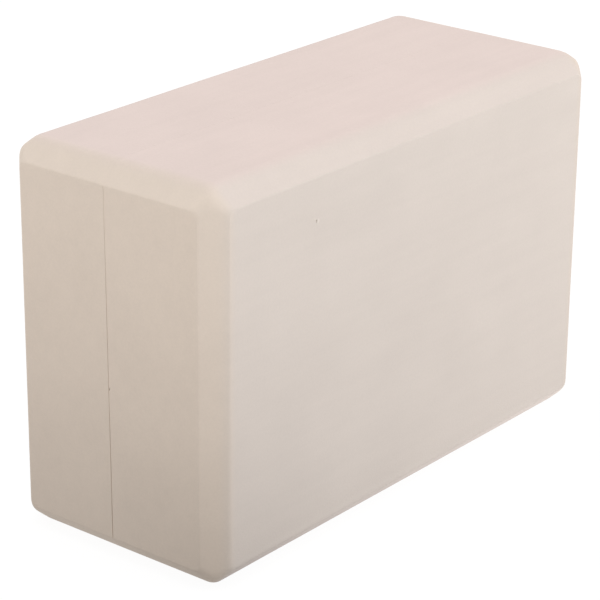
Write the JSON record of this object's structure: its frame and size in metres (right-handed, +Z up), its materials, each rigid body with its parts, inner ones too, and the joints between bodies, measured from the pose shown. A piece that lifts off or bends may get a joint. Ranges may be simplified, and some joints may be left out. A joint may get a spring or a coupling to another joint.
{
  "type": "yoga block",
  "caption": "Firm foam yoga block of two slabs glued face to face, with bevelled edges and blunted corners, for supporting hands, feet or hips on any of its faces.",
  "frame": {"origin": "middle of the long narrow face that the block stands on", "axes": "+X along the block's length, +Y from its front to its rear, +Z up"},
  "size_m": [0.23, 0.099, 0.151],
  "materials": {
    "foam": "matte closed-cell EVA foam, fine even grain, warm beige",
    "glue": "dried contact adhesive, dull brown, seen only at the bottom of the seam"
  },
  "bodies": {
    "root": {"front_slab": "foam", "rear_slab": "foam", "bond_film": "glue"}
  },
  "joints": []
}
